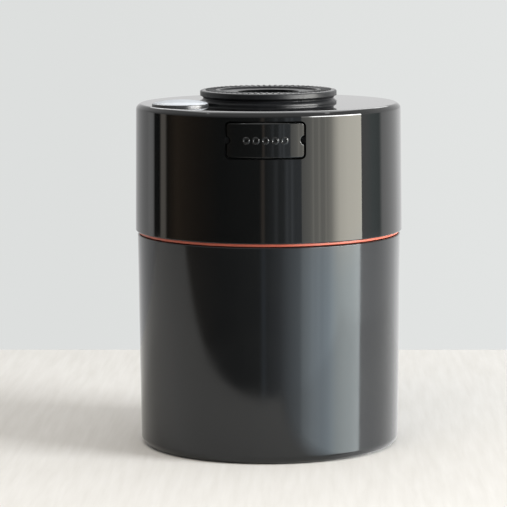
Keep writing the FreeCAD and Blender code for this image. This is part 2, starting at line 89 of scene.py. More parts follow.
# Sockets of a Mix node for colours, whose names it shares with the sockets for numbers
MIX_FACTOR, MIX_FROM, MIX_TO, MIX_RESULT = 0, 6, 7, 2

Corner = tuple[float, ...]
Point = tuple[float, float]
Place = tuple[float, float, float]
Colour = tuple[float, float, float, float]
# Node tree, shader and coordinates of a material
Nodes = tuple[bpy.types.NodeTree, bpy.types.Node, bpy.types.NodeSocket]
# Compass angle seen from the canister, from its front to the right, with the brightness and any tint there
Row = tuple[tuple[float, float] | tuple[float, float, str], ...]


class Body(Enum):
    """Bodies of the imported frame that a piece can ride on."""

    BASE = "base"
    LID = "lid"
    BUTTON = "button"
    PUMP = "pump"


class Shine(Enum):
    """What a light shows on: everything, only gloss, or only matte colour."""

    ALL = "all"
    GLOSS = "gloss"
    MATTE = "matte"


def linear(hex_colour: str) -> Colour:
    """Turn an sRGB hex colour to linear red, green, blue and a full alpha.

    Args:
        hex_colour: Six hex digits after a hash sign.

    Returns:
        The linear colour with alpha 1.
    """
    shares = [int(hex_colour[i : i + 2], 16) / 255 for i in (1, 3, 5)]
    red, green, blue = [s / 12.92 if s <= 0.04045 else ((s + 0.055) / 1.055) ** 2.4 for s in shares]
    return red, green, blue, 1.0


def lit(level: float, tint: str = WHITE) -> Colour:
    """Linear colour of an sRGB hex tint at a brightness, with a full alpha."""
    red, green, blue, alpha = linear(tint)
    return level * red, level * green, level * blue, alpha


def add_node(tree: bpy.types.NodeTree, kind: str, values: dict | None = None, links: dict | None = None,
             stops: Sequence[tuple[float, Colour]] = (), **settings: object) -> bpy.types.Node:
    """Add a node with its settings, input values and links.

    Args:
        tree: Node tree that gets the node.
        kind: Blender's type name of the node, without its ShaderNode prefix.
        values: Constant by input name or number.
        links: Output socket by input name or number.
        stops: Place and colour of each stop of a colour ramp, two or more.
        **settings: Attributes of the node.

    Returns:
        The new node.
    """
    node = tree.nodes.new("ShaderNode" + kind)
    for name, value in settings.items():
        setattr(node, name, value)
    for name, value in (values or {}).items():
        node.inputs[name].default_value = value
    for name, socket in (links or {}).items():
        tree.links.new(socket, node.inputs[name])
    for _ in stops[2:]:
        node.color_ramp.elements.new(0.5)
    for i, (place, colour) in enumerate(stops):
        node.color_ramp.elements[i].position = place
        node.color_ramp.elements[i].color = colour
    return node


def open_nodes(material: bpy.types.Material, values: dict | None = None) -> Nodes:
    """Open the nodes of a material, which hold one Principled shader.

    Args:
        material: The material to work on.
        values: Constant by input name of the shader.

    Returns:
        Its node tree, its shader and its object-space coordinates.
    """
    material.use_nodes = True
    tree = material.node_tree
    shader = tree.nodes["Principled BSDF"]
    for name, value in (values or {}).items():
        shader.inputs[name].default_value = value
    return tree, shader, add_node(tree, "TexCoord").outputs["Object"]


@dataclass(frozen=True)
class Moulding:
    """A moulded plastic or rubber: mottled colour, patchy gloss, a rippled or grained skin and dust.

    Lengths are millimetres. A grain finer than a pixel is drawn coarser, so that it shows. Edges are shaded
    with the small rounding that a tool leaves.
    """

    name: str
    colour: str
    fleck: str
    roughness: float
    gloss_spread: float
    patch: float
    grain: float
    grain_height: float
    ior: float = 1.5
    dust: str = "#8C8B88"
    dust_amount: float = 0.0
    dust_spacing: float = 5.0
    dust_size: float = 0.16
    subsurface: float = 0.0
    scatter: Place = (2.0, 0.6, 0.4)
    sheen: float = 0.0
    edge: float = 0.0
    edge_samples: int = 8
    tint: str = WHITE

    def build(self) -> bpy.types.Material:
        """Make the material.

        Returns:
            The material.
        """
        material = bpy.data.materials.new(self.name)
        tree, shader, place = open_nodes(material, {
            "IOR": self.ior, "Subsurface Weight": self.subsurface, "Sheen Weight": self.sheen,
            "Subsurface Radius": [reach * MM for reach in self.scatter], "Specular Tint": linear(self.tint)})
        patches = add_node(tree, "TexNoise", {"Scale": 1 / (self.patch * MM), "Detail": 3.0},
                           {"Vector": place}).outputs["Fac"]
        grain = add_node(tree, "TexNoise", {"Scale": 1 / (self.grain * MM), "Detail": 2.0},
                         {"Vector": place}).outputs["Fac"]
        skin = add_node(tree, "Mix", {MIX_FROM: linear(self.colour), MIX_TO: linear(self.fleck)},
                        {MIX_FACTOR: patches}, data_type="RGBA").outputs[MIX_RESULT]
        rough = add_node(tree, "MapRange",
                         {"From Min": NOISE_LOW, "From Max": NOISE_HIGH,
                          "To Min": self.roughness - self.gloss_spread,
                          "To Max": self.roughness + self.gloss_spread}, {"Value": patches}).outputs["Result"]
        bump = add_node(tree, "Bump", {"Strength": 1.0, "Distance": self.grain_height * MM},
                        {"Height": grain})
        if self.edge:
            bevel = add_node(tree, "Bevel", {"Radius": self.edge * MM}, samples=self.edge_samples)
            tree.links.new(bevel.outputs["Normal"], bump.inputs["Normal"])
        if self.dust_amount:
            cells = add_node(tree, "TexVoronoi", {"Scale": 1 / (self.dust_spacing * MM)},
                             {"Vector": place})
            speck = add_node(tree, "MapRange",
                             {"From Max": self.dust_size / self.dust_spacing, "To Min": self.dust_amount,
                              "To Max": 0.0}, {"Value": cells.outputs["Distance"]}).outputs["Result"]
            skin = add_node(tree, "Mix", {MIX_TO: linear(self.dust)},
                            {MIX_FACTOR: speck, MIX_FROM: skin}, data_type="RGBA").outputs[MIX_RESULT]
            rough = add_node(tree, "Math", links={0: rough, 1: speck}, operation="ADD").outputs[0]
        tree.links.new(skin, shader.inputs["Base Color"])
        tree.links.new(rough, shader.inputs["Roughness"])
        tree.links.new(bump.outputs["Normal"], shader.inputs["Normal"])
        return material


@dataclass(frozen=True)
class PolishedFront(Moulding):
    """A moulding whose front was polished in the tool, and which stays matte further back than a depth."""

    depth: float = 66.5
    matte: float = 0.6
    blend: float = 0.3

    def build(self) -> bpy.types.Material:
        """Make the material.

        Returns:
            The material.
        """
        material = super().build()
        tree, shader, place = open_nodes(material)
        parts = add_node(tree, "SeparateXYZ", links={"Vector": place})
        near, far = -(self.depth + self.blend) * MM, -(self.depth - self.blend) * MM
        back = add_node(tree, "MapRange", {"From Min": near, "From Max": far, "To Max": self.matte},
                        {"Value": parts.outputs["Y"]})
        front = shader.inputs["Roughness"].links[0].from_socket
        rough = add_node(tree, "Math", links={0: front, 1: back.outputs["Result"]},
                         operation="MAXIMUM")
        tree.links.new(rough.outputs[0], shader.inputs["Roughness"])
        return material


@dataclass(frozen=True)
class ShadedCore(Moulding):
    """A round moulding with painted shade in its middle, darker and less glossy there, and whose rim shines
    most.
    """

    core: float = 16.6
    blend: float = 0.15
    shine_reach: float = 37.0
    # Painted shade of the recess: the dark core colour and the low core shine
    core_shade: str = "#0A0B0C"
    core_shine: float = 0.06
    rim_shine: float = 0.5
    core_roughness: float = 0.85

    def build(self) -> bpy.types.Material:
        """Make the material.

        Returns:
            The material.
        """
        material = super().build()
        tree, shader, place = open_nodes(material)
        flat = add_node(tree, "VectorMath", {1: (1.0, 1.0, 0.0)}, {0: place}, operation="MULTIPLY")
        reach = add_node(tree, "VectorMath", links={0: flat.outputs["Vector"]},
                         operation="LENGTH").outputs["Value"]
        rim = add_node(tree, "MapRange",
                       {"From Min": (self.core - self.blend) * MM, "From Max": (self.core + self.blend) * MM},
                       {"Value": reach}).outputs["Result"]
        # Painted shade: inside the core radius the colour goes over to the dark core shade, and the gloss
        # drops
        outside = shader.inputs["Base Color"].links[0].from_socket
        skin = add_node(tree, "Mix", {MIX_FROM: linear(self.core_shade)},
                        {MIX_FACTOR: rim, MIX_TO: outside}, data_type="RGBA")
        shine = add_node(tree, "MapRange",
                         {"From Min": self.core * MM, "From Max": self.shine_reach * MM, "To Min": self.core_shine,
                          "To Max": self.rim_shine}, {"Value": reach})
        satin = shader.inputs["Roughness"].links[0].from_socket
        rough = add_node(tree, "Mix", {"A": self.core_roughness}, {"Factor": rim, "B": satin})
        tree.links.new(skin.outputs[MIX_RESULT], shader.inputs["Base Color"])
        tree.links.new(shine.outputs["Result"], shader.inputs["Specular IOR Level"])
        tree.links.new(rough.outputs["Result"], shader.inputs["Roughness"])
        return material


@dataclass(frozen=True)
class Metal:
    """A metal whose fine lines or flakes vary its colour and gloss, bare or under a clear coat."""

    name: str
    colour: str
    shade: str
    flake: float
    roughness: float
    gloss_spread: float
    metallic: float = 1.0
    shine: float = 0.5
    coat: float = 0.0
    coat_roughness: float = 0.02

    def build(self) -> bpy.types.Material:
        """Make the material.

        Returns:
            The material.
        """
        material = bpy.data.materials.new(self.name)
        tree, shader, place = open_nodes(material, {
            "Metallic": self.metallic, "Specular IOR Level": self.shine, "Coat Weight": self.coat,
            "Coat Roughness": self.coat_roughness})
        flakes = add_node(tree, "TexNoise", {"Scale": 1 / (self.flake * MM), "Detail": 2.0},
                          {"Vector": place}).outputs["Fac"]
        skin = add_node(tree, "Mix", {MIX_FROM: linear(self.colour), MIX_TO: linear(self.shade)},
                        {MIX_FACTOR: flakes}, data_type="RGBA")
        rough = add_node(tree, "MapRange",
                         {"To Min": self.roughness - self.gloss_spread,
                          "To Max": self.roughness + self.gloss_spread}, {"Value": flakes})
        tree.links.new(skin.outputs[MIX_RESULT], shader.inputs["Base Color"])
        tree.links.new(rough.outputs["Result"], shader.inputs["Roughness"])
        return material


Finish = Moulding | Metal

# ABS moulded in a polished tool: deep black with mirror-sharp reflections and a faint flow ripple
GLOSS_BLACK = Moulding("abs_black_polished", "#0A0B0B", "#0D0E0E", 0.035, 0.012, 14.0, 22.0, 0.0025,
                       ior=1.54, dust_amount=0.30, dust_spacing=9.0)
# The same ABS for the press tile, whose face alone is polished, so that the gap round it stays dark
TILE_BLACK = PolishedFront("abs_black_polished_face", "#0A0B0B", "#0D0E0E", 0.035, 0.012, 14.0, 22.0, 0.0025,
                           ior=1.54, edge=0.35)
# ABS moulded in a finer-blasted tool: charcoal, glossy, with softer reflections than the lid's
CHARCOAL = Moulding("abs_charcoal_satin", "#121314", "#161717", 0.11, 0.02, 18.0, 16.0, 0.003,
                    ior=1.54, tint="#F8FBFF", dust_amount=0.35, dust_spacing=8.0)
# Polypropylene moulded in a spark-eroded tool: matte black with an even fine grain
MATTE_BLACK = Moulding("polypropylene_black_eroded", "#131415", "#18191A", 0.46, 0.06, 3.0, 0.35, 0.012,
                       ior=1.49)
# Pigmented silicone, compression moulded: warm red with a waxy soft gloss and light in its edges
RED_SILICONE = Moulding("silicone_red_moulded", "#CC6650", "#D4705A", 0.38, 0.06, 6.0, 0.5, 0.004,
                        ior=1.41, subsurface=0.15)
# Dusty bloom of the rubber
BLOOM = {"dust": "#77777A", "dust_amount": 0.45, "dust_spacing": 2.2, "dust_size": 0.2, "sheen": 0.02}
# Natural rubber moulding: soot black, satin, with a fine pitted skin
BLACK_RUBBER = Moulding("rubber_black_moulded", "#0D0F12", "#141619", 0.34, 0.08, 4.0, 0.45, 0.018,
                        ior=1.38, edge=0.3, **BLOOM)
# The same rubber for the pump's pad, whose thumb dish has painted shade: almost black and hardly glossy
PAD_RUBBER = ShadedCore("rubber_black_shaded_dish", "#0D0F12", "#141619", 0.40, 0.08, 4.0, 0.45, 0.018,
                      ior=1.43, edge=0.2, **BLOOM)
# Unpigmented silicone with a little grey: milky and soft-edged
GREY_SILICONE = Moulding("silicone_grey_moulded", "#6E7276", "#787C80", 0.42, 0.05, 3.0, 0.4, 0.004,
                         ior=1.41, subsurface=0.2)
# Polycarbonate, satin: the dark carrier under the badge's dome
BADGE_GREY = Moulding("polycarbonate_dark_satin", "#3A3C3E", "#424446", 0.32, 0.05, 5.0, 0.5, 0.004, ior=1.58)
# Spring steel drawn through a die, which leaves fine lines along the wire
WIRE = Metal("spring_steel_drawn", "#B4B5B6", "#B4B5B6", 0.12, 0.26, 0.08)
# Painted reflection: the foil is hardly metallic, and its pale colour stands partly for the silver mirroring
# the pale room
# Silver foil under a clear poured resin dome: pale and soft, with a faint sharp gloss on the resin
FOIL = Metal("silver_foil_under_resin", "#C4CAD0", "#BAC0C6", 0.35, 0.32, 0.06, metallic=0.04, shine=0.0,
             coat=0.2)


@cache
def made(finish: Finish) -> bpy.types.Material:
    """Material of a finish, made the first time that it is asked for."""
    return finish.build()


def put(name: str, data: bpy.types.ID) -> bpy.types.Object:
    """Put a mesh, a lamp or a lens in the scene.

    Args:
        name: Name of the object.
        data: What the object shows.

    Returns:
        The new object.
    """
    thing = bpy.data.objects.new(name, data)
    bpy.context.scene.collection.objects.link(thing)
    return thing


def closed_mesh(name: str, shape: bmesh.types.BMesh) -> bpy.types.Mesh:
    """Turn a closed shape to a mesh whose faces look outwards.

    Args:
        name: Name of the mesh.
        shape: The shape, which is freed.

    Returns:
        The mesh.
    """
    bmesh.ops.recalc_face_normals(shape, faces=shape.faces)
    mesh = bpy.data.meshes.new(name)
    shape.to_mesh(mesh)
    shape.free()
    return mesh


def rounded(corners: Sequence[Corner]) -> list[Point]:
    """Turn corners, some with a rounding, to the points of a closed outline.

    Args:
        corners: Radius, level and, where the corner is rounded, its rounding.

    Returns:
        The outline's points in order.
    """
    points: list[Point] = []
    count = len(corners)
    for i, corner in enumerate(corners):
        here = Vector(corner[:2])
        if len(corner) < 3:
            points.append((here.x, here.y))
            continue
        back = (Vector(corners[i - 1][:2]) - here).normalized()
        ahead = (Vector(corners[(i + 1) % count][:2]) - here).normalized()
        half = back.angle(ahead) / 2
        centre = here + (back + ahead).normalized() * (corner[2] / math.sin(half))
        start = here + back * (corner[2] / math.tan(half)) - centre
        end = here + ahead * (corner[2] / math.tan(half)) - centre
        sweep = start.angle(end)
        for k in range(ARC_STEPS + 1):
            share = k / ARC_STEPS
            spoke = (start * math.sin((1 - share) * sweep) + end * math.sin(share * sweep)) / math.sin(sweep)
            points.append((centre.x + spoke.x, centre.y + spoke.y))
    return points


@dataclass
class Side:
    """One straight piece of a turned outline, with the true normals at its ends."""

    start: Vector
    end: Vector
    start_normal: Vector = field(default_factory=Vector)
    end_normal: Vector = field(default_factory=Vector)

    def length(self) -> float:
        """Length of the straight piece."""
        return (self.end - self.start).length

    def flat(self) -> Vector:
        """Normal of the straight piece, to the right of the way along it."""
        way = (self.end - self.start).normalized()
        return Vector((way.y, -way.x))

    def share(self, place: Vector) -> float:
        """How far along the piece a point of the section lies, from 0 to 1."""
        way = self.end - self.start
        return min(max((place - self.start).dot(way) / way.length_squared, 0.0), 1.0)

    def gap(self, place: Vector) -> float:
        """Distance of a point of the section from the piece."""
        return (self.start.lerp(self.end, self.share(place)) - place).length

    def normal_at(self, place: Vector) -> Vector:
        """True normal of the turned surface at a point in space.

        Args:
            place: Point in millimetres.

        Returns:
            The unit normal.
        """
        radius = math.hypot(place.x, place.y)
        flat = self.start_normal.lerp(self.end_normal, self.share(Vector((radius, place.z)))).normalized()
        return Vector((flat.x * place.x / radius, flat.x * place.y / radius, flat.y))


def outline_sides(outline: Sequence[Point]) -> list[Side]:
    """Sides of an outline, whose normals run on from side to side except across a sharp edge.

    Args:
        outline: Closed outline of radii and levels.

    Returns:
        One side for each piece of the outline.
    """
    points = [Vector(point) for point in outline]
    sides = [Side(points[i], points[(i + 1) % len(points)]) for i in range(len(points))]
    for before, after in zip(sides[-1:] + sides[:-1], sides):
        soft = before.flat().angle(after.flat()) < SHARP_ANGLE
        # A long straight side keeps its own normal up to its end, where a rounding starts from it
        longer = before if before.length() > after.length() else after
        before.end_normal = longer.flat() if soft else before.flat()
        after.start_normal = longer.flat() if soft else after.flat()
    return sides


def nearest_side(sides: Sequence[Side], place: Point, reach: float = 0.03) -> Side | None:
    """Side of an outline that a point of the section lies on.

    Args:
        sides: Sides of the outline.
        place: Radius and level of the point.
        reach: Largest distance that still counts.

    Returns:
        The side, or None where the point lies on none.
    """
    spot = Vector(place)
    best = min(sides, key=lambda side: side.gap(spot))
    return best if best.gap(spot) < reach else None


def lathe(name: str, outline: Sequence[Point], centre: Point = (0.0, 0.0)) -> bpy.types.Mesh:
    """Turn a closed outline about an upright axis.

    Args:
        name: Name of the mesh.
        outline: Radii and levels in millimetres, with the solid to the left of the way along.
        centre: Place of the axis in millimetres.

    Returns:
        The mesh, with the true normals of the turned surface.
    """
    vertices: list[Place] = []
    rings: list[list[int]] = []
    turns = [2 * math.pi * j / SEGMENTS for j in range(SEGMENTS)]
    for radius, level in outline:
        first = len(vertices)
        count = SEGMENTS if radius > ON_AXIS else 1
        for turn in turns[:count]:
            across = centre[0] + radius * math.cos(turn)
            deep = centre[1] + radius * math.sin(turn)
            vertices.append((across * MM, deep * MM, level * MM))
        rings.append([first + j % count for j in range(SEGMENTS)])
    faces: list[tuple[int, ...]] = []
    normals: list[Vector] = []
    for side, low, high in zip(outline_sides(outline), rings, rings[1:] + rings[:1]):
        # A side along the axis has no faces, and one that ends there has triangles
        if low[0] == low[1] and high[0] == high[1]:
            continue
        for j in range(SEGMENTS):
            after = (j + 1) % SEGMENTS
            corners = {low[j]: (side.start_normal, j), low[after]: (side.start_normal, after),
                       high[after]: (side.end_normal, after), high[j]: (side.end_normal, j)}
            faces.append(tuple(corners))
            for flat, k in corners.values():
                spoke = Vector((math.cos(turns[k]), math.sin(turns[k]), 0.0))
                normals.append(spoke * flat.x + Vector((0.0, 0.0, flat.y)))
    mesh = bpy.data.meshes.new(name)
    mesh.from_pydata(vertices, [], faces)
    mesh.shade_smooth()
    mesh.set_sharp_from_angle(angle=SHARP_ANGLE)
    mesh.normals_split_custom_set(normals)
    return mesh


def show(name: str, mesh: bpy.types.Mesh, body: Body, finish: Finish,
         node: str) -> bpy.types.Object:
    """Put a mesh in the scene as a piece of the canister.

    Args:
        name: Name of the piece.
        mesh: Its mesh.
        body: Body that it rides on.
        finish: Its finish.
        node: Node of the frame that it stands for.

    Returns:
        The piece.
    """
    piece = put(name, mesh)
    mesh.materials.clear()
    mesh.materials.append(made(finish))
    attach(piece, body.value)
    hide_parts(node)
    return piece


def dress(node: str, finish: Finish) -> bpy.types.Object:
    """Give a node of the frame its finish.

    Args:
        node: Name of the node.
        finish: Its finish.

    Returns:
        The node's object.
    """
    piece = frame["nodes"][node]
    piece.data.materials.clear()
    piece.data.materials.append(made(finish))
    return piece


@dataclass
class BaseCup:
    """Cup with a foot ring, a leaning wall, a shoulder and the neck that the lid slides over."""

    height: float = 116.0
    radius: float = 71.9
    foot_radius: float = 70.7
    corner: float = 4.5
    shoulder_edge: float = 0.6
    wall: float = 2.8
    floor: float = 3.0
    recess: float = 1.2
    foot_width: float = 8.0
    neck_radius: float = 68.42
    neck_wall: float = 2.4
    neck_round: float = 0.7
    neck_top: float = 156.6
    slope: float = 1.4
    inner_corner: float = 3.0

    def build(self) -> list[bpy.types.Object]:
        """Turn the cup and dress it.

        Returns:
            The cup alone.
        """
        inside = self.radius - self.wall
        neck_inside = self.neck_radius - self.neck_wall
        shoulder = self.height - self.wall
        foot_inside = self.foot_radius - self.corner - self.foot_width
        corners = [
            (0.0, self.recess),
            (foot_inside - self.recess, self.recess, self.shoulder_edge),
            (foot_inside, 0.0, self.shoulder_edge / 2),
            (self.foot_radius, 0.0, self.corner),
            (self.radius, self.height, self.shoulder_edge),
            (self.neck_radius, self.height, self.shoulder_edge / 2),
            (self.neck_radius, self.neck_top, self.neck_round),
            (neck_inside, self.neck_top, self.neck_round),
            (neck_inside, shoulder, self.inner_corner),
            (inside, shoulder - (inside - neck_inside) * self.slope, self.inner_corner),
            (self.foot_radius - self.wall, self.recess + self.floor, self.inner_corner),
            (0.0, self.recess + self.floor),
        ]
        cup = lathe("base", rounded(corners))
        return [show("base", cup, Body.BASE, CHARCOAL, "base_cup")]


@dataclass
class Lid:
    """Outer cap with the press window, the red seal at its rim and the inner cap."""

    rim_level: float = 117.9
    top: float = LID_TOP
    radius: float = 73.0
    lean: float = 0.75
    wall: float = 2.4
    deck: float = LID_DECK
    corner: float = 3.4
    inner_corner: float = 2.0
    edge: float = 0.5
    opening: float = LID_OPENING
    window_width: float = 42.5
    window_low: float = 162.25
    window_high: float = 182.15
    window_corner: float = 2.75
    seal_bottom: float = 116.3
    seal_top: float = 124.9
    seal_outside: float = 71.2
    seal_edge: float = 0.5
    leg_outside: float = 70.42
    leg_inside: float = 69.22
    lip: float = 0.5
    lip_height: float = 1.0
    bead: float = 0.4
    bead_height: float = 1.2
    groove_gap: float = BOND_GAP

    def inside(self, level: float) -> float:
        """Radius of the cap's inner wall at a level."""
        return self.radius - self.lean * (level - self.rim_level) / (self.top - self.rim_level) - self.wall

    def outline(self) -> list[Point]:
        """Outline of the cap's wall and deck, with the seal's groove.

        Returns:
            Its points in order.
        """
        groove_low = self.seal_top - 2 * self.bead_height - self.groove_gap
        groove_high = self.seal_top - self.bead_height + self.groove_gap
        groove = self.leg_outside + self.bead + 2 * self.groove_gap
        under = self.top - self.deck
        return rounded([
            (self.inside(self.rim_level), self.rim_level),
            (self.radius, self.rim_level, self.edge),
            (self.radius - self.lean, self.top, self.corner),
            (self.opening, self.top),
            (self.opening, under),
            (self.inside(under), under, self.inner_corner),
            (self.inside(groove_high), groove_high),
            (groove, groove_high),
            (groove, groove_low),
            (self.inside(groove_low), groove_low),
        ])

    def window_prism(self) -> bpy.types.Object:
        """Make the prism that cuts the press window.

        Returns:
            An object to cut with.
        """
        half = self.window_width / 2
        places = ((-half, self.window_low), (half, self.window_low), (half, self.window_high),
                  (-half, self.window_high))
        edge = rounded([(*place, self.window_corner) for place in places])
        shape = bmesh.new()
        near, far = -self.radius - self.corner, -self.opening
        fronts = [shape.verts.new((x * MM, near * MM, z * MM)) for x, z in edge]
        backs = [shape.verts.new((x * MM, far * MM, z * MM)) for x, z in edge]
        shape.faces.new(fronts)
        shape.faces.new(backs[::-1])
        for i in range(len(edge)):
            shape.faces.new((fronts[i - 1], backs[i - 1], backs[i], fronts[i]))
        return put("window_prism", closed_mesh("window_prism", shape))

    def cut_window(self, cap: bpy.types.Mesh) -> bpy.types.Mesh:
        """Cut the press window into the cap.

        Args:
            cap: Mesh of the whole cap.

        Returns:
            The cut mesh.
        """
        whole = put("cap_whole", cap)
        prism = self.window_prism()
        cut = whole.modifiers.new("window", "BOOLEAN")
        cut.operation = "DIFFERENCE"
        cut.solver = "EXACT"
        cut.object = prism
        bpy.context.view_layer.update()
        pierced = bpy.data.meshes.new_from_object(whole.evaluated_get(bpy.context.evaluated_depsgraph_get()))
        for helper in (whole, prism):
            bpy.data.objects.remove(helper)
        return pierced

    def polish(self, cap: bpy.types.Mesh, outline: Sequence[Point]) -> None:
        """Set the cap's true normals, so that its gloss mirrors without a kink round the window.

        Args:
            cap: Mesh of the cut cap.
            outline: Outline that it was turned from.
        """
        sides = outline_sides(outline)
        normals = [Vector()] * len(cap.loops)
        for face in cap.polygons:
            middle = face.center / MM
            side = nearest_side(sides, (math.hypot(middle.x, middle.y), middle.z))
            for loop in face.loop_indices:
                place = cap.vertices[cap.loops[loop].vertex_index].co / MM
                normals[loop] = face.normal if side is None else side.normal_at(place)
        cap.normals_split_custom_set(normals)

    def seal_outline(self) -> list[Point]:
        """Outline of the red seal: a bead under the rim, and a leg with wiping lips inside the wall.

        Returns:
            Its points in order.
        """
        bead_low = self.seal_top - 2 * self.bead_height
        bead_high = self.seal_top - self.bead_height
        soft = self.bead / 2
        return rounded([
            (self.leg_inside, self.seal_bottom),
            (self.seal_outside, self.seal_bottom, self.seal_edge),
            (self.seal_outside, self.rim_level, self.seal_edge),
            (self.leg_outside, self.rim_level),
            (self.leg_outside, bead_low),
            (self.leg_outside + self.bead, bead_low, soft),
            (self.leg_outside + self.bead, bead_high, soft),
            (self.leg_outside, bead_high),
            (self.leg_outside, self.seal_top, soft),
            (self.leg_inside, self.seal_top),
            (self.leg_inside - self.lip, self.seal_top - self.lip_height, soft),
            (self.leg_inside, self.seal_top - 2 * self.lip_height),
            (self.leg_inside, self.rim_level + 2 * self.lip_height),
            (self.leg_inside - self.lip, self.rim_level + self.lip_height, soft),
            (self.leg_inside, self.rim_level),
        ])

    def build(self) -> list[bpy.types.Object]:
        """Turn the cap and the seal, and dress them and the inner cap.

        Returns:
            The lid's pieces.
        """
        outline = self.outline()
        cap = self.cut_window(lathe("lid", outline))
        self.polish(cap, outline)
        seal = lathe("seal", self.seal_outline())
        return [
            show("lid", cap, Body.LID, GLOSS_BLACK, "lid_shell"),
            show("seal", seal, Body.LID, RED_SILICONE, "neck_seal"),
            dress("lid_liner", MATTE_BLACK),
            dress("inlet_valve", GREY_SILICONE),
        ]


@dataclass
class PressButton:
    """Press tile with its stem, the release valve behind it and its return spring."""

    level: float = 172.2
    coil_radius: float = 4.2
    wire: float = 0.4
    coil_start: float = -61.55
    coil_end: float = -69.91
    turns: int = 4
    travel: float = 2.0
    turn_steps: int = 36
    wire_steps: int = 12

    def coil(self) -> bpy.types.Mesh:
        """Wind the spring as a round wire about the stem.

        Returns:
            The mesh of the wire, closed at both ends.
        """
        shape = bmesh.new()
        count = self.turns * self.turn_steps
        rings = []
        for i in range(count + 1):
            turn = 2 * math.pi * i / self.turn_steps
            along = self.coil_start + (self.coil_end - self.coil_start) * i / count
            out = Vector((math.cos(turn), 0.0, math.sin(turn)))
            middle = Vector((0.0, along, self.level)) + out * self.coil_radius
            ring = []
            for j in range(self.wire_steps):
                lean = 2 * math.pi * j / self.wire_steps
                skin = middle + (out * math.cos(lean) + Vector((0.0, math.sin(lean), 0.0))) * self.wire
                ring.append(shape.verts.new(skin * MM))
            rings.append(ring)
        for low, high in zip(rings, rings[1:]):
            for j in range(self.wire_steps):
                shape.faces.new((low[j - 1], low[j], high[j], high[j - 1]))
        shape.faces.new(rings[0][::-1])
        shape.faces.new(rings[-1])
        mesh = closed_mesh("return_spring", shape)
        mesh.shade_smooth()
        return mesh

    def build(self) -> list[bpy.types.Object]:
        """Dress the tile and the valve, and wind the spring about the stem.

        Returns:
            The button's pieces.
        """
        finishes = {"press_button": TILE_BLACK, "valve_washer": GREY_SILICONE, "valve_disc": MATTE_BLACK}
        pieces = [dress(node, finish) for node, finish in finishes.items()]
        spring = show("return_spring", self.coil(), Body.LID, WIRE, "button_spring")
        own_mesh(spring)
        return [*pieces, spring]


@dataclass
class Pump:
    """Rubber bellows pump: fixed collar, folded wall, and the pad with its ribbed rim and thumb dish."""

    radius: float = 37.2
    lid_top: float = LID_TOP
    collar_low: float = 182.8
    deck_under: float = LID_TOP - LID_DECK
    opening: float = LID_OPENING - BOND_GAP
    bead: float = 35.2
    bore: float = 30.7
    collar_top: float = 188.4
    fold_inset: float = 0.6
    fold_depth: float = 1.2
    fold_wall: float = 1.4
    pad_under: float = 191.2
    soft_edge: float = 0.35
    travel: float = 2.2

    def collar(self) -> list[Point]:
        """Outline of the collar that grips the edge of the lid's opening.

        Returns:
            Its points in order.
        """
        return rounded([
            (self.bore, self.collar_low),
            (self.bead, self.collar_low, self.soft_edge),
            (self.bead, self.deck_under),
            (self.opening, self.deck_under),
            (self.opening, self.lid_top),
            (self.radius, self.lid_top),
            (self.radius, self.collar_top, self.soft_edge),
            (self.bore, self.collar_top),
        ])

    def bellows(self) -> list[Point]:
        """Outline of the wall, folded inwards at half its height.

        Returns:
            Its points in order.
        """
        outside = self.radius - self.fold_inset
        inside = outside - self.fold_wall
        middle = (self.collar_top + self.pad_under) / 2
        return rounded([
            (inside, self.collar_top),
            (outside, self.collar_top),
            (outside - self.fold_depth, middle, self.soft_edge),
            (outside, self.pad_under),
            (inside, self.pad_under),
            (inside - self.fold_depth, middle, self.soft_edge),
        ])

    def build(self) -> list[bpy.types.Object]:
        """Turn the collar and the folded wall, and dress the pad and its valve.

        Returns:
            The pump's pieces.
        """
        foot = lathe("collar", self.collar())
        collar = show("collar", foot, Body.LID, BLACK_RUBBER, "pump_collar")
        fold = lathe("bellows", self.bellows())
        wall = show("bellows", fold, Body.LID, BLACK_RUBBER, "pump_bellows")
        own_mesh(wall)
        return [collar, wall, dress("pump_pad", PAD_RUBBER), dress("exhaust_valve", GREY_SILICONE)]


@dataclass
class Badge:
    """Round badge on the lid beside the pump: a dark carrier under a bare silver dome."""

    lid_top: float = LID_TOP
    radius: float = 15.325
    distance: float = 53.025
    angle: float = 61.6
    height: float = 1.2
    edge: float = 0.4
    lip: float = 0.4
    dome: float = 2.0
    dome_power: float = 1.4
    dome_steps: int = 32

    def build(self) -> list[bpy.types.Object]:
        """Turn the carrier and the dome and dress them.

        Returns:
            The carrier and the dome.
        """
        aside = math.radians(self.angle)
        centre = (-self.distance * math.sin(aside), -self.distance * math.cos(aside))
        foot = self.lid_top + self.height
        carrier = rounded([(0.0, self.lid_top), (self.radius, self.lid_top), (self.radius, foot, self.edge),
                           (0.0, foot)])
        face = self.radius - self.lip
        # Poured resin stands nearly upright at its edge and is almost flat in the middle
        crown = []
        for k in range(self.dome_steps):
            turn = math.pi / 2 * k / self.dome_steps
            crown.append((face * math.cos(turn), foot + self.dome * math.sin(turn) ** self.dome_power))
        disc = lathe("badge_carrier", carrier, centre)
        resin = lathe("badge_face", [(0.0, foot), *crown, (0.0, foot + self.dome)], centre)
        return [
            show("badge_carrier", disc, Body.LID, BADGE_GREY, "badge_disc"),
            show("badge_face", resin, Body.LID, FOIL, "badge_dome"),
        ]


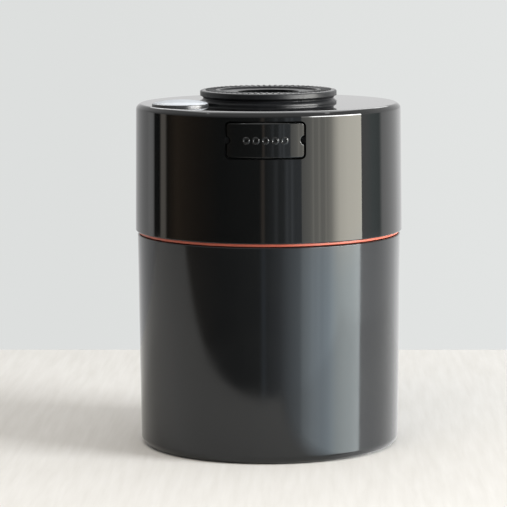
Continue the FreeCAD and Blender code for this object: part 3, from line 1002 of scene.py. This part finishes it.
@dataclass(frozen=True)
class Panel:
    """A flat soft light, aimed at a point, with its brightness as seen in a mirror.

    Each band is a share of the width, seen from the canister from right to left, and the brightness there.
    The low tint colours the light's lower part, and goes over to none between two shares of its height.
    """

    name: str
    place: Place
    aim: Place
    width: float
    height: float
    bands: tuple[Point, ...]
    colour: str = WHITE
    shine: Shine = Shine.ALL
    low_tint: str = WHITE
    rise: Point = (0.50, 0.58)

    def build(self) -> None:
        """Hang the light in the scene."""
        lamp = bpy.data.lights.new(self.name, "AREA")
        lamp.shape = "RECTANGLE"
        lamp.size = self.width
        lamp.size_y = self.height
        lamp.color = linear(self.colour)[:3]
        peak = max(level for _, level in self.bands)
        # The power at which a matte white lamp of this size has the peak brightness
        lamp.energy = peak * math.pi * self.width * self.height
        lamp.use_nodes = True
        tree = lamp.node_tree
        spot = add_node(tree, "NewGeometry").outputs["Parametric"]
        parts = add_node(tree, "SeparateXYZ", links={"Vector": spot})
        levels = add_node(tree, "ValToRGB", links={"Fac": parts.outputs["X"]},
                          stops=[(share, lit(level / peak)) for share, level in self.bands])
        low, high = self.rise
        tints = add_node(tree, "ValToRGB", links={"Fac": parts.outputs["Y"]},
                         stops=[(low, linear(self.low_tint)), (high, linear(WHITE))])
        glow = add_node(tree, "Mix", {MIX_FACTOR: 1.0},
                        {MIX_FROM: levels.outputs["Color"], MIX_TO: tints.outputs["Color"]},
                        data_type="RGBA", blend_type="MULTIPLY")
        tree.links.new(glow.outputs[MIX_RESULT], tree.nodes["Emission"].inputs["Color"])
        light = put(self.name, lamp)
        light.location = self.place
        light.rotation_euler = (Vector(self.aim) - Vector(self.place)).to_track_quat("-Z", "Y").to_euler()
        light.visible_camera = False
        light.visible_diffuse = self.shine is not Shine.GLOSS
        light.visible_glossy = self.shine is not Shine.MATTE


@dataclass
class Studio:
    """Pale table, the room that the gloss mirrors, soft lights and the camera.

    Lengths are metres, but the sensor's width is millimetres. Angles are radians, but the compass's degrees.
    """

    table_left: float = -1.1
    table_right: float = 0.5
    table_front: float = -0.25
    table_back: float = 0.312
    table_thickness: float = 0.03
    table_edge: float = 0.002
    table_edge_steps: int = 3
    table_colour: str = "#E9E8E5"
    table_grain: str = "#D6D4CF"
    table_roughness: float = 0.7
    table_shine: float = 0.0
    grain_length: float = 0.06
    grain_stretch: float = 14.0
    grain_turn: float = math.radians(15)
    open_from: float = 0.03
    open_to: float = 0.06
    open_left: float = 0.1
    backdrop: tuple[str, str] = ("#DDDFDE", "#E3E5E4")
    backdrop_reach: float = 0.09
    distance: float = 1.5
    camera_height: float = 0.29419
    turn: float = math.radians(1.35)
    pitch: float = 0.12614
    yaw: float = -0.00566
    roll: float = 0.0045
    focal_pixels: float = 2752.0
    frame_pixels: int = 507
    sensor: float = 36.0
    clip: Point = (0.05, 50.0)
    # The room at the height of its furniture
    room: Row = (
        (-180, 0.90), (-160, 0.66), (-135, 0.62), (-128, 0.66), (-123, 0.86), (-117, 0.86), (-114, 0.04),
        (-106.5, 0.04), (-104, 0.80, "#FFF6EA"), (-99, 0.85, "#FFF6EA"), (-96.5, 0.06, "#FFE9D2"),
        (-84, 0.22, "#FFDDBC"), (-62, 0.12, "#FFE0C4"), (-40, 0.05), (-6, 0.06), (-3.5, 0.55, "#FFE9D8"),
        (-1.5, 0.12), (5, 0.20, "#F2F8FF"), (7.8, 0.45, "#F2F8FF"), (10, 0.20, "#F2F8FF"),
        (14, 0.25, "#F2F8FF"), (17.5, 0.75, "#EEF6FF"), (19, 0.30, "#EEF6FF"), (21, 0.80, "#EEF6FF"),
        (23, 0.45, "#EEF6FF"), (30, 0.50, "#EEF6FF"), (91, 0.80), (102, 0.60, "#EEFDFD"),
        (112, 0.40, "#EEFDFD"), (116, 1.10), (150, 1.30), (180, 0.90),
    )
    # The ground below the furniture
    lower_room: Row = (
        (-180, 0.90), (-120, 0.60), (-90, 0.20, "#FFE9D2"), (-40, 0.05), (-6, 0.07), (-3.5, 0.50, "#DCEBFF"),
        (-1, 0.16, "#F2F8FF"), (10, 0.38, "#F2F8FF"), (20, 1.00, "#EEF8FF"), (31, 1.60, "#ECF8FF"),
        (44, 2.30, "#E2F2FF"), (57, 2.60, "#DCF0FF"), (64, 0.10), (78, 0.40), (90, 1.90), (104, 1.45),
        (118, 1.25), (150, 1.45), (180, 0.90),
    )
    # The walls above the furniture
    upper_room: Row = (
        (-180, 0.90), (-165, 0.75), (-120, 0.50), (-60, 0.35), (20, 0.35), (60, 0.80), (100, 1.00),
        (160, 0.95), (180, 0.90),
    )
    overhead: Row = ((-180, 0.75), (180, 0.75))
    room_scale: float = 2.6
    # Slopes between which the ground goes over to the furniture, that to the walls, and these to the ceiling
    skirting: Point = (-0.13, -0.105)
    horizon: Point = (0.0, 0.06)
    coving: Point = (0.15, 0.8)
    panels: tuple[Panel, ...] = (
        Panel("window", (1.010, -0.648, -0.075), (0.0, 0.0, -0.075), 1.314, 0.95,
              ((0.0, 0.8), (0.13, 1.2), (0.17, 1.5), (0.19, 2.1), (0.21, 1.5), (0.26, 1.6), (0.28, 2.2),
               (0.31, 1.5), (0.36, 1.6), (0.38, 2.3), (0.4, 1.8), (0.46, 2.6), (0.5, 4.0), (0.53, 5.0),
               (0.59, 6.6), (0.72, 7.2), (1.0, 6.8)), "#FFFAEA", low_tint="#E2F0FF"),
        Panel("ceiling", (0.0, 0.60, 1.25), (0.0, 0.55, 0.0), 1.40, 1.4, ((0.0, 2.6), (1.0, 2.6)),
              shine=Shine.GLOSS),
        Panel("back_light", (0.0, 1.87, 1.25), (0.0, 1.82, 0.0), 1.80, 1.1, ((0.0, 3.4), (1.0, 3.4)),
              shine=Shine.GLOSS),
        Panel("sky", (0.980, -0.629, 0.32), (0.0, 0.0, 0.32), 1.275, 0.20,
              ((0.0, 2.0), (0.12, 3.0), (0.2, 26.0), (1.0, 38.0)), shine=Shine.GLOSS),
        Panel("fill", (-0.30, -0.75, 1.05), (-0.15, -0.1, 0.0), 0.9, 0.6, ((0.0, 1.9), (1.0, 1.9)),
              "#FFEDD6", Shine.MATTE),
        Panel("daylight", (2.10, -0.90, 1.10), (0.0, 0.0, 0.1), 1.0, 1.0, ((0.0, 17.0), (1.0, 17.0)),
              "#FAFCFF", Shine.MATTE),
    )

    def table(self) -> None:
        """Build the table top with softened edges and a faint pale grain."""
        shape = bmesh.new()
        bmesh.ops.create_cube(shape, size=1.0)
        size = (self.table_right - self.table_left, self.table_back - self.table_front, self.table_thickness)
        middle = ((self.table_right + self.table_left) / 2, (self.table_back + self.table_front) / 2,
                  -self.table_thickness / 2)
        bmesh.ops.scale(shape, vec=size, verts=shape.verts)
        bmesh.ops.translate(shape, vec=middle, verts=shape.verts)
        bmesh.ops.bevel(shape, geom=shape.edges, offset=self.table_edge, segments=self.table_edge_steps,
                        affect="EDGES")
        mesh = closed_mesh("table", shape)
        mesh.materials.append(self.table_finish())
        table = put("table", mesh)

    def table_finish(self) -> bpy.types.Material:
        """Make the whitewashed oak of the table: pale and matte, with a faint long grain.

        Returns:
            The material.
        """
        material = bpy.data.materials.new("oak_whitewashed")
        tree, shader, place = open_nodes(material, {"Roughness": self.table_roughness,
                                                    "Specular IOR Level": self.table_shine})
        # The gloss looks past the table's right end, where the window goes on down below its top
        rays = add_node(tree, "LightPath")
        parts = add_node(tree, "SeparateXYZ", links={"Vector": place})
        kept = add_node(tree, "MapRange",
                        {"From Min": self.open_from, "From Max": self.open_to, "To Min": 1.0,
                         "To Max": self.open_left}, {"Value": parts.outputs["X"]})
        past = add_node(tree, "Math", operation="ADD",
                        links={0: rays.outputs["Is Glossy Ray"], 1: rays.outputs["Is Shadow Ray"]})
        solid = add_node(tree, "Mix", {"A": 1.0},
                         {"Factor": past.outputs[0], "B": kept.outputs["Result"]})
        stretch = add_node(tree, "Mapping",
                           {"Rotation": (0.0, 0.0, self.grain_turn), "Scale": (self.grain_stretch, 1.0, 1.0)},
                           {"Vector": place})
        grain = add_node(tree, "TexNoise", {"Scale": 1 / self.grain_length, "Detail": 5.0},
                         {"Vector": stretch.outputs["Vector"]})
        wood = add_node(tree, "Mix",
                        {MIX_FROM: linear(self.table_colour), MIX_TO: linear(self.table_grain)},
                        {MIX_FACTOR: grain.outputs["Fac"]}, data_type="RGBA")
        tree.links.new(wood.outputs[MIX_RESULT], shader.inputs["Base Color"])
        tree.links.new(solid.outputs["Result"], shader.inputs["Alpha"])
        return material

    def surroundings(self) -> None:
        """Make the room: a pale backdrop for the camera, and the room all round for everything else."""
        world = bpy.data.worlds.new("room")
        bpy.context.scene.world = world
        world.use_nodes = True
        tree = world.node_tree
        tree.nodes.clear()
        way = add_node(tree, "TexCoord").outputs["Generated"]
        parts = add_node(tree, "SeparateXYZ", links={"Vector": way})
        front = add_node(tree, "Math", {1: -1.0}, {0: parts.outputs["Y"]}, operation="MULTIPLY")
        compass = add_node(tree, "Math", links={0: parts.outputs["X"], 1: front.outputs[0]},
                           operation="ARCTAN2")
        share = add_node(tree, "MapRange", {"From Min": -math.pi, "From Max": math.pi},
                         {"Value": compass.outputs[0]})
        rows = []
        for row in (self.lower_room, self.room, self.upper_room, self.overhead):
            stops = [((angle + 180) / 360, lit(level / self.room_scale, *tint))
                     for angle, level, *tint in row]
            rows.append(add_node(tree, "ValToRGB", links={"Fac": share.outputs["Result"]},
                                 stops=stops).outputs["Color"])
        colour = rows[0]
        for (low, high), row in zip((self.skirting, self.horizon, self.coving), rows[1:]):
            over = add_node(tree, "MapRange", {"From Min": low, "From Max": high},
                            {"Value": parts.outputs["Z"]})
            colour = add_node(tree, "Mix",
                              links={MIX_FACTOR: over.outputs["Result"], MIX_FROM: colour, MIX_TO: row},
                              data_type="RGBA").outputs[MIX_RESULT]
        room = add_node(tree, "Background", {"Strength": self.room_scale}, {"Color": colour})
        across = add_node(tree, "MapRange",
                          {"From Min": -self.backdrop_reach, "From Max": self.backdrop_reach},
                          {"Value": parts.outputs["X"]})
        left, right = self.backdrop
        pale = add_node(tree, "Mix", {MIX_FROM: linear(left), MIX_TO: linear(right)},
                        {MIX_FACTOR: across.outputs["Result"]}, data_type="RGBA")
        backdrop = add_node(tree, "Background", links={"Color": pale.outputs[MIX_RESULT]})
        rays = add_node(tree, "LightPath")
        both = add_node(tree, "MixShader", links={0: rays.outputs["Is Camera Ray"],
                                                            1: room.outputs["Background"],
                                                            2: backdrop.outputs["Background"]})
        add_node(tree, "OutputWorld", links={"Surface": both.outputs["Shader"]})

    def camera(self) -> None:
        """Place the camera as it stood, a little right of the front and looking slightly down."""
        lens = bpy.data.cameras.new("camera")
        lens.sensor_width = self.sensor
        lens.lens = self.sensor * self.focal_pixels / self.frame_pixels
        lens.clip_start, lens.clip_end = self.clip
        camera = put("camera", lens)
        level = math.cos(self.pitch)
        ahead = Vector((math.sin(self.yaw) * level, math.cos(self.yaw) * level, -math.sin(self.pitch)))
        right = Vector((math.cos(self.yaw), -math.sin(self.yaw), 0.0))
        up = right.cross(ahead)
        lean = Matrix.Rotation(self.roll, 3, ahead)
        right, up = lean @ right, lean @ up
        pose = Matrix((right, up, -ahead)).transposed().to_4x4()
        pose.translation = (0.0, -self.distance, self.camera_height)
        camera.matrix_world = Matrix.Rotation(self.turn, 4, "Z") @ pose
        bpy.context.scene.camera = camera

    def build(self) -> None:
        """Set up the table, the room, the lights and the camera."""
        self.table()
        self.surroundings()
        for panel in self.panels:
            panel.build()
        self.camera()
        bpy.context.scene.view_settings.view_transform = "Standard"


def main() -> None:
    """Build the canister's sub-assemblies, report their pieces, and set up the studio round them."""
    logging.basicConfig(level=logging.INFO, format="%(name)s: %(message)s")
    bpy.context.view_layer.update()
    for part in (BaseCup(), Lid(), PressButton(), Pump(), Badge()):
        for piece in part.build():
            LOG.info("%s: %s with %d faces in %s", type(part).__name__, piece.name, len(piece.data.polygons),
                     piece.data.materials[0].name)
    Studio().build()


if __name__ == "__main__":
    main()
